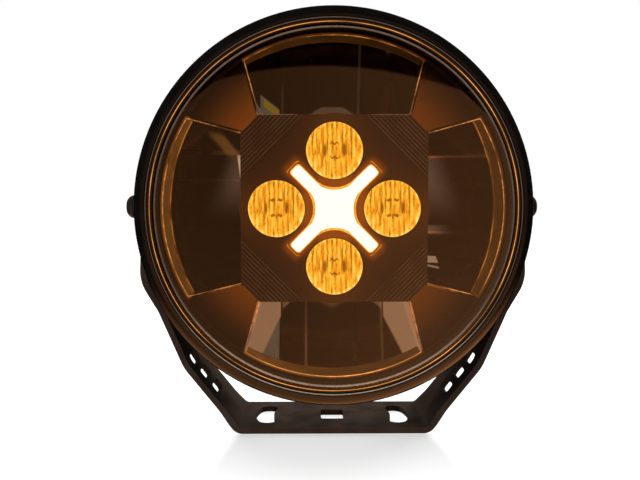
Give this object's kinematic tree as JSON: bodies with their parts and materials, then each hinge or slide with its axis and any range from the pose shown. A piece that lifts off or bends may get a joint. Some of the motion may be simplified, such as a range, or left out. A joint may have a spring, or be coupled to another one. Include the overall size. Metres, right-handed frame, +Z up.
{
  "type": "fog light",
  "caption": "Round LED fog and driving light: faceted reflectors round an octagonal panel with amber optics and a crossed light guide, on a bent steel strap bracket that lets it tilt.",
  "frame": {"origin": "middle of the foot's underside", "axes": "+Z up, -Y the way the lens faces, +X to the right seen from in front"},
  "size_m": [0.2512, 0.12, 0.2473],
  "materials": {
    "powder_coated_steel": "satin black powder coat",
    "cast_aluminium_black": "die cast, matt black powder coat",
    "gloss_black_bezel": "gloss black",
    "smoked_amber_lens": "clear polycarbonate with a bronze smoke tint",
    "metallised_reflector": "vacuum-metallised mirror",
    "dark_inner_trim": "satin dark brown-black",
    "amber_optic": "clear amber, fluted",
    "diffusing_light_guide": "lit white diffuser",
    "green_circuit_board": "solder mask",
    "white_circuit_board": "white solder mask",
    "black_circuit_board": "black solder mask",
    "bare_aluminium": "machined",
    "grey_silicone": "moulded",
    "black_rubber": "moulded",
    "cable_jacket": "matt black jacket",
    "black_nylon": "glass-filled nylon",
    "orange_nylon": "moulded",
    "zinc_plated_steel": "zinc plated",
    "black_coated_steel": "black zinc"
  },
  "bodies": {
    "bracket": {"mounting_bracket": "powder_coated_steel", "arm_grommet_left": "black_rubber", "arm_grommet_right": "black_rubber"},
    "lamp_head": {"bezel_screw_1": "black_coated_steel", "bezel_screw_2": "black_coated_steel", "bezel_screw_3": "black_coated_steel", "bezel_screw_4": "black_coated_steel", "bezel_screw_5": "black_coated_steel", "bezel_screw_6": "black_coated_steel", "breather_vent": "black_nylon", "cable_clip": "black_nylon", "cable_gland": "black_nylon", "centre_panel": "dark_inner_trim", "clip_screw": "zinc_plated_steel", "cover_gasket": "black_rubber", "cover_screw_1": "zinc_plated_steel", "cover_screw_2": "zinc_plated_steel", "cover_screw_3": "zinc_plated_steel", "cover_screw_4": "zinc_plated_steel", "driver_board": "green_circuit_board", "driver_cover": "cast_aluminium_black", "flat_washer_left": "black_coated_steel", "flat_washer_right": "black_coated_steel", "fog_led_board": "white_circuit_board", "fog_optic_bottom": "amber_optic", "fog_optic_left": "amber_optic", "fog_optic_right": "amber_optic", "fog_optic_top": "amber_optic", "front_bezel": "gloss_black_bezel", "front_lens": "smoked_amber_lens", "gland_nut": "black_nylon", "inner_surround": "dark_inner_trim", "led_tower": "bare_aluminium", "lens_seal": "grey_silicone", "main_led_board_bottom": "black_circuit_board", "main_led_board_left": "black_circuit_board", "main_led_board_right": "black_circuit_board", "main_led_board_top": "black_circuit_board", "main_reflector_bottom": "metallised_reflector", "main_reflector_left": "metallised_reflector", "main_reflector_right": "metallised_reflector", "main_reflector_top": "metallised_reflector", "pivot_sleeve_left": "zinc_plated_steel", "pivot_sleeve_right": "zinc_plated_steel", "plug_body": "black_nylon", "plug_rear_seal": "grey_silicone", "plug_wedge_lock": "orange_nylon", "position_led_board": "white_circuit_board", "position_light_guide": "diffusing_light_guide", "rear_housing": "cast_aluminium_black", "spring_washer_left": "black_coated_steel", "spring_washer_right": "black_coated_steel", "supply_cable": "cable_jacket"},
    "left_bolt": {"pivot_bolt_left": "black_coated_steel"},
    "right_bolt": {"pivot_bolt_right": "black_coated_steel"}
  },
  "joints": [
    {"name": "head_tilt", "type": "hinge", "parent": "bracket", "child": "lamp_head", "pos_m": [0, 0, 0.1333], "axis": [1, 0, 0], "range_deg": [-90, 8]},
    {"name": "left_bolt_turn", "type": "hinge", "parent": "lamp_head", "child": "left_bolt", "pos_m": [-0.1256, 0, 0.1333], "axis": [-1, 0, 0], "continuous": true},
    {"name": "right_bolt_turn", "type": "hinge", "parent": "lamp_head", "child": "right_bolt", "pos_m": [0.1256, 0, 0.1333], "axis": [1, 0, 0], "continuous": true}
  ]
}
